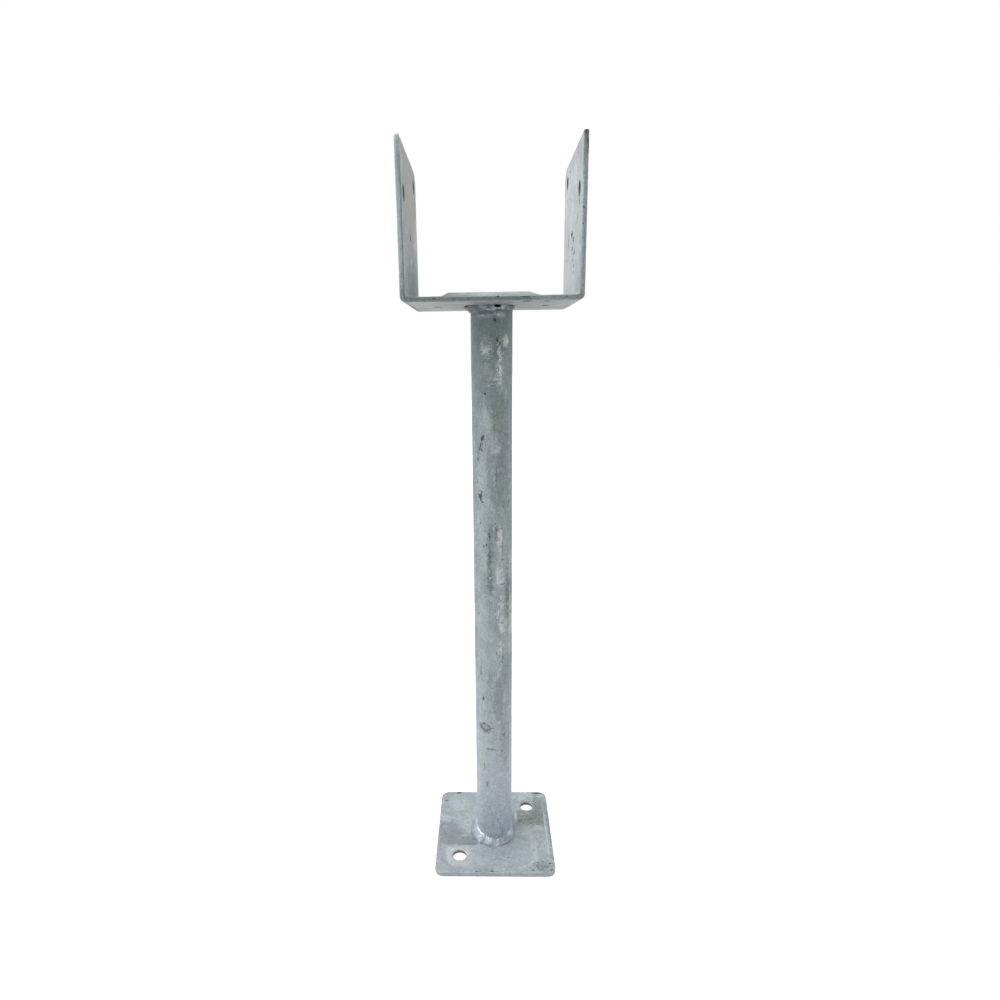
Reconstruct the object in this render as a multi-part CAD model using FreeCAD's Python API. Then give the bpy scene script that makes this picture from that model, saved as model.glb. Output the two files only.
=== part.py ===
import FreeCAD, Part
import math
import os

from FreeCAD import Vector

# Timber post base of the bolt-down kind, welded from plate and tube and then
# hot-dip galvanised.  A square foot plate carries a tube stem, and the stem
# carries a saddle folded from one strip, open at the top, front and rear.
#
# Frame: millimetres, origin at the centre of the foot's underside, +Z up the
# stem.  X runs across the saddle from wall to wall and Y along the channel
# that takes the post.  The front of the base is its -Y side.

# Foot plate
FOOT_SIDE = 110.0
FOOT_THICKNESS = 4.0
FOOT_CORNER_RADIUS = 8.0
FOOT_EDGE_BREAK = 0.6
ANCHOR_HOLE_DIAMETER = 12.0
ANCHOR_EDGE_DISTANCE = 22.0
DRAIN_HOLE_DIAMETER = 14.0

# Tube stem
TUBE_DIAMETER = 33.7
TUBE_WALL = 3.2
TUBE_LENGTH = 490.0

# Vent slot at the top of the stem, left open for the zinc bath
VENT_WIDTH = 5.4
VENT_HEIGHT = 1.8
VENT_CORNER_RADIUS = 0.7
VENT_ANGLE = 14.0

# Saddle, folded from one strip
POST_WIDTH = 125.0
POST_CLEARANCE = 1.0
SADDLE_DEPTH = 104.0
SADDLE_HEIGHT = 111.0
SADDLE_THICKNESS = 4.0
BEND_INNER_RADIUS = 2.5
FRONT_CORNER_RADIUS = 1.5
REAR_CORNER_RADIUS = 11.0

# Holes of the saddle: each wall has two bolt holes, the rear one higher than
# the front one so that the bolts miss each other's grain, and a screw hole,
# and the floor has two screw holes
BOLT_HOLE_DIAMETER = 10.0
BOLT_EDGE_DISTANCE = 17.0
FRONT_BOLT_BELOW_TOP = 34.0
REAR_BOLT_BELOW_TOP = 14.0
SCREW_HOLE_DIAMETER = 5.5
WALL_SCREW_BELOW_TOP = 59.0
FLOOR_SCREW_WALL_DISTANCE = 20.0

# Seat pad, which holds the post's end grain clear of the saddle floor
PAD_WIDTH = 65.0
PAD_DEPTH = 70.0
PAD_THICKNESS = 4.0
PAD_CORNER_RADIUS = 6.0
PAD_SIDE_OFFSET = -2.0

# Weld beads: the reach of each along the plate and up or down the tube, and
# the height by which the face of a round bead crowns outwards
FOOT_WELD_OUT = 6.0
FOOT_WELD_UP = 7.0
SADDLE_WELD_OUT = 4.0
SADDLE_WELD_DOWN = 4.8
WELD_CROWN = 0.7
PAD_WELD_OUT = 5.0
PAD_WELD_RUN_OUT = 8.0
PAD_WELD_SHOULDER_RISE = 0.65
PAD_WELD_SHOULDER_REACH = 0.5

# Levels and half sizes that follow from the sizes above
STEM_BOTTOM = FOOT_THICKNESS
STEM_TOP = STEM_BOTTOM + TUBE_LENGTH
FLOOR_TOP = STEM_TOP + SADDLE_THICKNESS
SADDLE_TOP = STEM_TOP + SADDLE_HEIGHT
TUBE_RADIUS = TUBE_DIAMETER / 2
INNER_HALF = (POST_WIDTH + POST_CLEARANCE) / 2
OUTER_HALF = INNER_HALF + SADDLE_THICKNESS
DEPTH_HALF = SADDLE_DEPTH / 2

X_AXIS = Vector(1, 0, 0)
Y_AXIS = Vector(0, 1, 0)
Z_AXIS = Vector(0, 0, 1)
TOLERANCE = 1e-4


def one_solid(shape):
    """Return the single valid solid that a shape holds."""
    if len(shape.Solids) != 1 or not shape.Solids[0].isValid():
        raise ValueError("expected one valid solid, got %d" % len(shape.Solids))
    return shape.Solids[0]


def straight_edges(shape, direction):
    """Return the straight edges of a shape that run along a direction."""
    lines = [edge for edge in shape.Edges if isinstance(edge.Curve, Part.Line)]
    return [edge for edge in lines if edge.Curve.Direction.cross(direction).Length < TOLERANCE]


def edges_through(edges, axis, value):
    """Return the edges that lie wholly at one value of the x, y or z axis."""
    return [edge for edge in edges
            if all(abs(getattr(vertex.Point, axis) - value) < TOLERANCE for vertex in edge.Vertexes)]


def drill(diameter, thickness, point, direction):
    """Return the cylinder that drills a plate of a thickness at a point on its face."""
    start = point - direction * thickness
    return Part.makeCylinder(diameter / 2, 3 * thickness, start, direction)


def rounded_outline(x_low, x_high, y_half, radius, level):
    """Return a rectangle with rounded corners as a closed wire at a level."""
    corners = [(x_high, -y_half, 1, -1), (x_high, y_half, 1, 1),
               (x_low, y_half, -1, 1), (x_low, -y_half, -1, -1)]
    arcs = []
    for index, (x, y, x_side, y_side) in enumerate(corners):
        centre = Vector(x - x_side * radius, y - y_side * radius, level)
        turn = [math.radians(90 * index - 90 + part) for part in (0, 45, 90)]
        arcs.append(Part.Arc(*[centre + Vector(math.cos(a), math.sin(a), 0) * radius for a in turn]))
    edges = []
    for arc, following in zip(arcs, arcs[1:] + arcs[:1]):
        edges.append(arc.toShape())
        edges.append(Part.makeLine(arc.EndPoint, following.StartPoint))
    return Part.Wire(edges)


def rounded_plate(outline, thickness):
    """Return a flat plate of a thickness, standing on its outline."""
    return Part.Face(outline).extrude(Z_AXIS * thickness)


def foot_plate():
    """Foot: square plate with anchor holes on one diagonal and a drain hole under the stem."""
    half = FOOT_SIDE / 2
    plate = rounded_plate(rounded_outline(-half, half, half, FOOT_CORNER_RADIUS, 0), FOOT_THICKNESS)
    plate = plate.makeFillet(FOOT_EDGE_BREAK, edges_through(plate.Edges, "z", FOOT_THICKNESS))
    reach = half - ANCHOR_EDGE_DISTANCE
    holes = [drill(ANCHOR_HOLE_DIAMETER, FOOT_THICKNESS, Vector(side * reach, side * reach, 0), Z_AXIS)
             for side in (-1, 1)]
    holes.append(drill(DRAIN_HOLE_DIAMETER, FOOT_THICKNESS, Vector(0, 0, 0), Z_AXIS))
    return plate.cut(holes)


def vent_slot():
    """Cutter for the vent: a small round-cornered slot close under the saddle floor."""
    length = TUBE_RADIUS + SADDLE_WELD_OUT + TUBE_WALL
    corner = Vector(-VENT_WIDTH / 2, -length, STEM_TOP - VENT_HEIGHT)
    slot = Part.makeBox(VENT_WIDTH, length, VENT_HEIGHT, corner)
    slot = slot.makeFillet(VENT_CORNER_RADIUS, edges_through(straight_edges(slot, Y_AXIS), "z", corner.z))
    slot.rotate(Vector(0, 0, 0), Z_AXIS, VENT_ANGLE)
    return slot


def stem_tube():
    """Stem: a length of tube with the vent filed into its top end."""
    start = Vector(0, 0, STEM_BOTTOM)
    tube = Part.makeCylinder(TUBE_RADIUS, TUBE_LENGTH, start)
    bore = Part.makeCylinder(TUBE_RADIUS - TUBE_WALL, TUBE_LENGTH, start)
    return tube.cut([bore, vent_slot()])


def round_bead(level, reach_out, reach_along):
    """Fillet weld round the stem: a crowned triangle spun about the stem's axis.

    reach_along is positive where the bead climbs the tube from a plate below,
    and negative where it hangs from a plate above.  Three flats make the crown.
    """
    root = Vector(TUBE_RADIUS, 0, level)
    toe = root + X_AXIS * reach_out
    tip = root + Z_AXIS * reach_along
    outward = Vector(abs(reach_along), 0, math.copysign(reach_out, reach_along)).normalize()
    lower_shoulder = toe + (tip - toe) / 3 + outward * WELD_CROWN
    upper_shoulder = tip + (toe - tip) / 3 + outward * WELD_CROWN
    outline = Part.makePolygon([root, toe, lower_shoulder, upper_shoulder, tip, root])
    return Part.Face(outline).revolve(Vector(0, 0, 0), Z_AXIS, 360)


def foot_weld():
    """Bead between the foot plate and the stem."""
    return round_bead(STEM_BOTTOM, FOOT_WELD_OUT, FOOT_WELD_UP)


def saddle_weld():
    """Bead between the stem and the saddle floor, open at the vent."""
    return round_bead(STEM_TOP, SADDLE_WELD_OUT, -SADDLE_WELD_DOWN).cut(vent_slot())


def folded_strip():
    """U of the saddle: two walls and a floor, with the bends at their true radii."""
    strip = Part.makeBox(2 * OUTER_HALF, SADDLE_DEPTH, SADDLE_HEIGHT,
                         Vector(-OUTER_HALF, -DEPTH_HALF, STEM_TOP))
    channel = Part.makeBox(2 * INNER_HALF, SADDLE_DEPTH, SADDLE_HEIGHT,
                           Vector(-INNER_HALF, -DEPTH_HALF, FLOOR_TOP))
    strip = strip.cut(channel)
    along = straight_edges(strip, Y_AXIS)
    strip = strip.makeFillet(BEND_INNER_RADIUS, edges_through(along, "z", FLOOR_TOP))
    along = straight_edges(strip, Y_AXIS)
    outer_corners = [edge for side in (-1, 1) for edge in edges_through(along, "x", side * OUTER_HALF)]
    outer_radius = BEND_INNER_RADIUS + SADDLE_THICKNESS
    return strip.makeFillet(outer_radius, edges_through(outer_corners, "z", STEM_TOP))


def wall_corners(strip, y_side):
    """Return the top corner edges of both walls at the front or the rear."""
    across = edges_through(straight_edges(strip, X_AXIS), "z", SADDLE_TOP)
    return edges_through(across, "y", y_side * DEPTH_HALF)


def saddle_holes():
    """Drills for both walls' bolt and screw holes and for the floor's screw holes."""
    bolt_y = DEPTH_HALF - BOLT_EDGE_DISTANCE
    wall_holes = [(BOLT_HOLE_DIAMETER, -bolt_y, FRONT_BOLT_BELOW_TOP),
                  (BOLT_HOLE_DIAMETER, bolt_y, REAR_BOLT_BELOW_TOP),
                  (SCREW_HOLE_DIAMETER, 0, WALL_SCREW_BELOW_TOP)]
    drills = []
    for side in (-1, 1):
        for diameter, y, below_top in wall_holes:
            point = Vector(side * INNER_HALF, y, SADDLE_TOP - below_top)
            drills.append(drill(diameter, SADDLE_THICKNESS, point, X_AXIS * side))
        point = Vector(side * (INNER_HALF - FLOOR_SCREW_WALL_DISTANCE), 0, STEM_TOP)
        drills.append(drill(SCREW_HOLE_DIAMETER, SADDLE_THICKNESS, point, Z_AXIS))
    return drills


def saddle():
    """Saddle: the folded strip with its wall corners rounded and its holes drilled."""
    strip = folded_strip()
    strip = strip.makeFillet(FRONT_CORNER_RADIUS, wall_corners(strip, -1))
    strip = strip.makeFillet(REAR_CORNER_RADIUS, wall_corners(strip, 1))
    return strip.cut(saddle_holes())


def pad_outline(grow, run_out, level):
    """Outline of the seat pad at a level, grown by a bead's reach on each side."""
    return rounded_outline(PAD_SIDE_OFFSET - PAD_WIDTH / 2 - grow,
                           PAD_SIDE_OFFSET + PAD_WIDTH / 2 + run_out,
                           PAD_DEPTH / 2 + grow, PAD_CORNER_RADIUS + grow, level)


def seat_pad():
    """Flat pad that lies on the saddle floor."""
    return rounded_plate(pad_outline(0, 0, FLOOR_TOP), PAD_THICKNESS)


def seat_pad_weld():
    """Bead all round the pad, flush with its top and run out long on its +X side."""
    sections = [(1, 0), (PAD_WELD_SHOULDER_REACH, PAD_WELD_SHOULDER_RISE), (0, 1)]
    outlines = [pad_outline(PAD_WELD_OUT * reach, PAD_WELD_RUN_OUT * reach,
                            FLOOR_TOP + PAD_THICKNESS * rise)
                for reach, rise in sections]
    return Part.makeLoft(outlines, True, True).cut(seat_pad())


def main():
    """Build each piece and write it to its own STEP file."""
    os.makedirs("parts", exist_ok=True)
    pieces = (foot_plate, foot_weld, stem_tube, saddle_weld, saddle, seat_pad, seat_pad_weld)
    for piece in pieces:
        one_solid(piece()).exportStep("parts/%s.step" % piece.__name__)


main()
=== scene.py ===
"""Looks of a galvanised timber post base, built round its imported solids.

The base is a square foot plate, a tube stem and a saddle folded from one strip,
welded together and hot-dip galvanised.  Each piece here is remodelled at the
size of its solid with the softened edges, runs, lumps and pits that a zinc bath
leaves, and every finish is a procedural material.  Lengths in the classes are
in millimetres, in the frame of the solids: +Z up the stem, the front at -Y.
"""

import logging
import math
from collections.abc import Callable, Iterable, Iterator
from contextlib import contextmanager
from dataclasses import dataclass, field
from enum import Enum

import bpy
import numpy as np
from mathutils import Matrix, Vector


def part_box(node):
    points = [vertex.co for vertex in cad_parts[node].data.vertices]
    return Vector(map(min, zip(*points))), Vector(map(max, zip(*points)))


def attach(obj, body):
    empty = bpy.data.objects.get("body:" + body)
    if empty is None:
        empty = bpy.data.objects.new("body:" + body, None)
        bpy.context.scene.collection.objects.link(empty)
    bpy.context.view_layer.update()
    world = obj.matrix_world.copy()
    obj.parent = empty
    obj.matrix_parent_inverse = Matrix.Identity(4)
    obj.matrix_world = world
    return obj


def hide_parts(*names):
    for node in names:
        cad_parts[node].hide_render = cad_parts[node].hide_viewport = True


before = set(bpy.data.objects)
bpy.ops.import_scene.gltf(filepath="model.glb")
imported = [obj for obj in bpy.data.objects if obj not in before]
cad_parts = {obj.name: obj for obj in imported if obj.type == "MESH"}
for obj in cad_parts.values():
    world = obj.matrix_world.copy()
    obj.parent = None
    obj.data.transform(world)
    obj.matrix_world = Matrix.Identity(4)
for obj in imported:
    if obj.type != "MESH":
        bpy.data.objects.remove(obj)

LOG = logging.getLogger("post_base")
MM = 0.001
BODY = "root"
SENSOR_MM = 36.0
FLOOR_M = 30
STEM_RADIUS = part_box("stem_tube")[1][0] / MM
# Faces round a drill and round the core of a bead, and round and along a ripple.
DRILL_FACES = 48
CORE_FACES = 96
BALL_FACES = (24, 14)
# How nearly a face must look along an axis to be picked, as a cosine.
FACING = 0.9
TO_RIGHT, TO_REAR, UP = Vector((1, 0, 0)), Vector((0, 1, 0)), Vector((0, 0, 1))
WHITE = (1.0, 1.0, 1.0, 1.0)

Piece = bpy.types.Object
Tree = bpy.types.NodeTree
Socket = bpy.types.NodeSocket
Triple = tuple[float, float, float]
Row = tuple[float, ...]
Field = Callable[[np.ndarray, np.ndarray], np.ndarray]
Test = Callable[[Vector, Vector], bool]


class Slot(Enum):
    """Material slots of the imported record."""

    PLATE = "plate"
    TUBE = "tube"
    WELD = "weld"


# ---------------------------------------------------------------- mesh tools


def deselect() -> None:
    """Leave edit mode and deselect every object."""
    if bpy.context.mode != "OBJECT":
        bpy.ops.object.mode_set(mode="OBJECT")
    bpy.ops.object.select_all(action="DESELECT")


def activate(*pieces: Piece) -> None:
    """Select pieces and nothing else, and make the first one active."""
    deselect()
    for piece in pieces:
        piece.select_set(True)
    bpy.context.view_layer.objects.active = pieces[0]


def join(pieces: list[Piece]) -> Piece:
    """Join pieces into the first one and return it."""
    activate(*pieces)
    bpy.ops.object.join()
    return pieces[0]


def start_piece(name: str, scale: Triple = (1, 1, 1)) -> Piece:
    """Name the primitive that was just added and bake its place and scale into its mesh.

    Args:
        name: The piece's name.
        scale: Its scale along its own axes.

    Returns:
        The new object, at the origin with no scale or turn.
    """
    piece = bpy.context.active_object
    piece.scale = scale
    piece.name = name
    piece.data.name = name
    bpy.ops.object.transform_apply(location=True, rotation=True, scale=True)
    return piece


@contextmanager
def editing(piece: Piece) -> Iterator[None]:
    """Work in edit mode on one piece, starting with nothing selected.

    Args:
        piece: The mesh object to edit.
    """
    activate(piece)
    bpy.ops.object.mode_set(mode="EDIT")
    bpy.ops.mesh.select_all(action="DESELECT")
    yield
    bpy.ops.object.mode_set(mode="OBJECT")


def pick(piece: Piece, kind: str, test: Test) -> None:
    """Select the faces or edges of a piece in edit mode by a test.

    Args:
        piece: The object being edited.
        kind: Either FACE or EDGE.
        test: For a face it is given the centre and normal, and for an edge its
            middle and direction.
    """
    bpy.ops.mesh.select_mode(type=kind)
    bpy.ops.object.mode_set(mode="OBJECT")
    mesh = piece.data
    if kind == "FACE":
        for polygon in mesh.polygons:
            polygon.select = test(polygon.center, polygon.normal)
    else:
        for edge in mesh.edges:
            ends = [mesh.vertices[index].co for index in edge.vertices]
            edge.select = test((ends[0] + ends[1]) / 2, (ends[1] - ends[0]).normalized())
    bpy.ops.object.mode_set(mode="EDIT")


def finish_with(piece: Piece, kind: str, **settings: object) -> None:
    """Add a modifier with its settings and apply it.

    Args:
        piece: The mesh object.
        kind: The modifier's type.
        settings: Values for the modifier's own properties.
    """
    activate(piece)
    modifier = piece.modifiers.new(kind.lower(), kind)
    for name, value in settings.items():
        setattr(modifier, name, value)
    bpy.ops.object.modifier_apply(modifier=modifier.name)


def cut_away(piece: Piece, cutter: Piece) -> None:
    """Subtract a cutter from a piece and delete the cutter.

    Args:
        piece: The mesh object to cut.
        cutter: A closed mesh object.
    """
    finish_with(piece, "BOOLEAN", operation="DIFFERENCE", object=cutter, solver="EXACT")
    bpy.data.objects.remove(cutter, do_unlink=True)


def drill(piece: Piece, place: Vector, axis: Vector, diameter: float, length: float) -> None:
    """Drill a round hole.

    Args:
        piece: The mesh object.
        place: A point on the hole's axis, in mm.
        axis: The hole's direction.
        diameter: The hole's diameter, in mm.
        length: The drill's length, centred on the place, in mm.
    """
    deselect()
    bpy.ops.mesh.primitive_cylinder_add(
        vertices=DRILL_FACES, radius=diameter / 2 * MM, depth=length * MM, location=place * MM,
        rotation=axis.to_track_quat("Z", "Y").to_euler())
    cut_away(piece, start_piece("drill"))


def box_mm(node: str) -> tuple[Vector, Vector]:
    """Return the lowest and the highest corner of a solid, in mm."""
    low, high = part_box(node)
    return Vector(low) / MM, Vector(high) / MM


def slab(name: str, low: Vector, high: Vector) -> Piece:
    """Add a block between two corners.

    Args:
        name: The piece's name.
        low: Lowest corner, in mm.
        high: Highest corner, in mm.

    Returns:
        The block.
    """
    deselect()
    bpy.ops.mesh.primitive_cube_add(size=1, location=(low + high) / 2 * MM)
    return start_piece(name, (high - low) * MM)


def round_edges(piece: Piece, test: Test, radius: float,
                segments: int = 8) -> None:
    """Bevel the edges of a piece that pass a test to an arc.

    Args:
        piece: The mesh object.
        test: Given an edge's middle and direction.
        radius: The arc's radius, in mm.
        segments: Faces in the arc.
    """
    with editing(piece):
        pick(piece, "EDGE", test)
        bpy.ops.mesh.bevel(offset=radius * MM, segments=segments, affect="EDGES")


def along(direction: Vector) -> Test:
    """Return a test for edges that run along a direction."""
    nearly_one = 0.999
    return lambda middle, course: abs(course.dot(direction)) > nearly_one


def vertex_arrays(piece: Piece) -> tuple[np.ndarray, np.ndarray]:
    """Read a piece's vertices.

    Args:
        piece: The mesh object.

    Returns:
        Places in mm and normals, one row for each vertex.
    """
    count = len(piece.data.vertices)
    places = np.empty(count * 3)
    normals = np.empty(count * 3)
    piece.data.vertices.foreach_get("co", places)
    piece.data.vertex_normals.foreach_get("vector", normals)
    return places.reshape(-1, 3) / MM, normals.reshape(-1, 3)


def paint(piece: Piece, name: str, amount: Field) -> None:
    """Paint a value over a piece as a mesh attribute for its material.

    Args:
        piece: The mesh object.
        name: The attribute's name.
        amount: Gives the values, from 0 to 1, from places in mm and normals.
    """
    values = np.clip(amount(*vertex_arrays(piece)), 0, 1)
    layer = piece.data.attributes.new(name, "FLOAT", "POINT")
    layer.data.foreach_set("value", values.astype(np.float32))


def weigh(piece: Piece, name: str, amount: Field) -> str:
    """Give a piece a vertex group whose weights follow a field.

    Args:
        piece: The mesh object.
        name: The group's name.
        amount: Gives the weights, from 0 to 1.

    Returns:
        The group's name.
    """
    group = piece.vertex_groups.new(name=f"{name} weight")
    weights = np.clip(amount(*vertex_arrays(piece)), 0, 1)
    least = 0.001
    for index in np.flatnonzero(weights > least):
        group.add([int(index)], float(weights[index]), "REPLACE")


    return group.name


@dataclass(frozen=True)
class Grain:
    """Grain of a zinc skin: how far it moves the surface, and how coarse it is.

    Attributes:
        height: Depth of the grain, in mm.
        size: Width of one lump, in mm.
        level: Value of the noise that stays in place: 1 keeps the skin inside.
        hard: Whether lumps meet in creases.
        depth: Octaves of finer noise on top.
    """

    height: float
    size: float
    level: float = 1.0
    hard: bool = False
    depth: int = 2

    def roughen(self, piece: Piece, group: str = "") -> None:
        """Displace a piece with this grain.

        Args:
            piece: The mesh object, finely meshed.
            group: Vertex group that says how much, or empty for all over.
        """
        texture = bpy.data.textures.new("grain", "CLOUDS")
        texture.noise_scale = self.size * MM
        texture.noise_depth = self.depth
        texture.noise_type = "HARD_NOISE" if self.hard else "SOFT_NOISE"
        finish_with(piece, "DISPLACE", texture=texture, texture_coords="LOCAL", direction="NORMAL",
                    strength=self.height * MM, mid_level=self.level, vertex_group=group)


def swell(piece: Piece, group: str, height: float) -> None:
    """Raise, or sink if negative, the part of a piece in a vertex group.

    Args:
        piece: The mesh object.
        group: The vertex group's name.
        height: How far at full weight, in mm.
    """
    finish_with(piece, "DISPLACE", direction="NORMAL", strength=height * MM, mid_level=0.0,
                vertex_group=group)


def bathe(piece: Piece, voxel: float, softness: int = 2) -> None:
    """Give a piece the fine mesh and softened edges of a zinc-coated part.

    Args:
        piece: A closed mesh object.
        voxel: Mesh size, in mm.
        softness: Passes of smoothing.
    """
    finish_with(piece, "REMESH", mode="VOXEL", voxel_size=voxel * MM, use_smooth_shade=True)
    finish_with(piece, "SMOOTH", factor=0.5, iterations=softness)


def settle(piece: Piece, slot: Slot, finish: "Zinc", *nodes: str) -> None:
    """Dress a finished piece and hand it to the frame.

    Args:
        piece: The mesh object.
        slot: The record's material slot; not used.
        finish: The finish it gets.
        nodes: The solids that it stands for.
    """
    piece.data.materials.clear()
    piece.data.materials.append(finish.material())
    piece.data.shade_smooth()
    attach(piece, BODY)
    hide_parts(*nodes)
    LOG.info("%s: %d faces", piece.name, len(piece.data.polygons))


# ------------------------------------------------------------------- marks


@dataclass(frozen=True)
class Mark:
    """An oval mark on a surface, such as a lump, a pit or a stain.

    Attributes:
        place: Its centre, in mm.
        reach: Its half sizes along X, Y and Z, in mm.
        strength: Its value at the centre.
        soft: Share of its half size over which it fades.
    """

    place: Triple
    reach: Triple
    strength: float = 1.0
    soft: float = 1.0

    def amount(self, places: np.ndarray) -> np.ndarray:
        """Return how strongly each place in mm lies in the mark."""
        distance = np.linalg.norm((places - np.array(self.place)) / np.array(self.reach), axis=1)
        inward = np.clip((1 - distance) / self.soft, 0, 1)
        return self.strength * inward * inward * (3 - 2 * inward)


def marks_field(marks: Iterable[Mark]) -> Field:
    """Return the field of the strongest of several marks."""
    listed = tuple(marks)
    return lambda places, normals: np.max([mark.amount(places) for mark in listed], axis=0)


def tube_mark(across: float, height: float, half_width: float, half_height: float,
              strength: float = 1.0, soft: float = 1.0) -> Mark:
    """Place a mark on the front of the stem.

    Args:
        across: Distance right of the stem's axis, in mm.
        height: Height above the floor, in mm.
        half_width: Half its width, in mm.
        half_height: Half its height, in mm.
        strength: Its value at the centre.
        soft: Share of its half size over which it fades.

    Returns:
        The mark.
    """
    depth = -math.sqrt(max(STEM_RADIUS ** 2 - across ** 2, 0.0))
    return Mark((across, depth, height), (half_width, half_width + 4.0, half_height), strength, soft)


class Face(Enum):
    """Flat faces with stains and painted light: the axis across each, 0 for X, and its level in mm.

    The walls are marked on their inner faces, FRONT is the front edge of the
    saddle and UNDER its underside.
    """

    FOOT_TOP = (2, 4.0)
    RIGHT_WALL = (0, 63.0)
    LEFT_WALL = (0, -63.0)
    FRONT = (1, -52.0)
    UNDER = (2, 494.0)


def marks_at(*rows: Row) -> tuple[Mark, ...]:
    """Return marks, each from a row of its place, half sizes, strength and softness."""
    return tuple(Mark(row[:3], row[3:6], *row[6:]) for row in rows)


def tube_marks(*rows: Row) -> tuple[Mark, ...]:
    """Return marks on the front of the stem, each from a row of what tube_mark takes."""
    return tuple(tube_mark(*row) for row in rows)


def face_marks(face: Face, depth: float, *rows: Row) -> tuple[Mark, ...]:
    """Return marks on a flat face.

    Args:
        face: The face.
        depth: How far they reach through it, in mm.
        rows: For each mark its two places along the face, two half sizes, strength and softness.

    Returns:
        The marks.
    """
    axis, level = face.value
    marks = []
    for row in rows:
        place = (*row[:axis], level, *row[axis:2])
        reach = (*row[2:2 + axis], depth, *row[2 + axis:4])
        marks.append(Mark(place, reach, *row[4:]))
    return tuple(marks)


# ---------------------------------------------------------------- materials


def colour(code: str) -> tuple[float, float, float, float]:
    """Turn an sRGB hex code into linear light.

    Args:
        code: Six hex digits.

    Returns:
        Red, green, blue and alpha for a shader socket.
    """
    parts = [int(code[start:start + 2], 16) / 255 for start in (0, 2, 4)]
    linear = [part / 12.92 if part <= 0.04045 else ((part + 0.055) / 1.055) ** 2.4 for part in parts]
    return (linear[0], linear[1], linear[2], 1.0)


def per_mm(size: float) -> float:
    """Return a texture scale for a pattern of a size in mm, on coordinates in metres."""
    return 1000.0 / size


def bare_tree(owner: bpy.types.Material | bpy.types.World) -> Tree:
    """Return the emptied node tree of a new material or world."""
    owner.use_nodes = True
    owner.node_tree.nodes.clear()
    return owner.node_tree


def add_node(tree: Tree, kind: str, links: dict[int | str, object] | None = None, output: int | str = 0,
             **settings: object) -> Socket | None:
    """Add a shader node with its settings and links.

    Args:
        tree: The node tree.
        kind: The node's type, without ShaderNode.
        links: What goes into each input: an output socket or a value.
        output: Index or name of the output to return.
        settings: Values for the node's own properties.

    Returns:
        That output, or None for a node without outputs.
    """
    node = tree.nodes.new(f"ShaderNode{kind}")
    for name, value in settings.items():
        setattr(node, name, value)
    for name, value in (links or {}).items():
        if isinstance(value, Socket):
            tree.links.new(value, node.inputs[name])
        else:
            node.inputs[name].default_value = value
    return node.outputs[output] if node.outputs else None


@dataclass(frozen=True)
class ColourPatch:
    """A tinted area of a zinc skin: a stain, painted shade or a painted highlight.

    Attributes:
        mark: Where it lies and how far it reaches.
        tone: Its colour, as sRGB hex.
        ragged: How much its outline wanders, as a share of its size.
        fine: Whether its outline follows the fine noise and not the coarse one.
        bent: Whether it is bent out of its oval by a slow noise.
    """

    mark: Mark
    tone: str
    ragged: float = 0.35
    fine: bool = False
    bent: bool = True


class Tone(Enum):
    """Colours of the marks on zinc, as sRGB hex; some of them stand for painted shade and highlights."""

    # Dross specks, and painted shade inside the foot plate's anchor holes.
    DROSS = "464e50"
    SCRATCH = "5b6567"
    DULL = "8a9593"
    OLIVE = "8a958f"
    PLUM = "868b94"
    # Dark zinc, and painted shade in creases, at the stem's top and low on the saddle's left wall.
    DEEP = "5f6f71"
    HALO = "b9c0c3"
    # Bright zinc, and painted highlights on the stem's scabs and on the welds.
    BRIGHT = "dde1e3"
    # Painted glints.
    GLINT = "ecf3f1"
    CREAM = "cbcec1"
    RUST = "857a6c"
    LILAC = "cbd3df"
    PALE = "b9c3c6"
    # Frosted zinc, and painted light on the saddle's right wall and on the rims of its front edges.
    FROST = "cfd5d6"
    WARM = "a19f9a"
    SLATE = "a1acb2"
    # Painted shade inside the saddle's bolt holes, and dark drips below them.
    INK = "464e62"


def colour_patches(tone: Tone, marks: Iterable[Mark], ragged: float = 0.35, fine: bool = False,
            bent: bool = True) -> tuple[ColourPatch, ...]:
    """Return a patch of one tone, for stains and for painted light, on each of some marks, with the patch
    class's settings.
    """
    return tuple(ColourPatch(mark, tone.value, ragged, fine, bent) for mark in marks)


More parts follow.
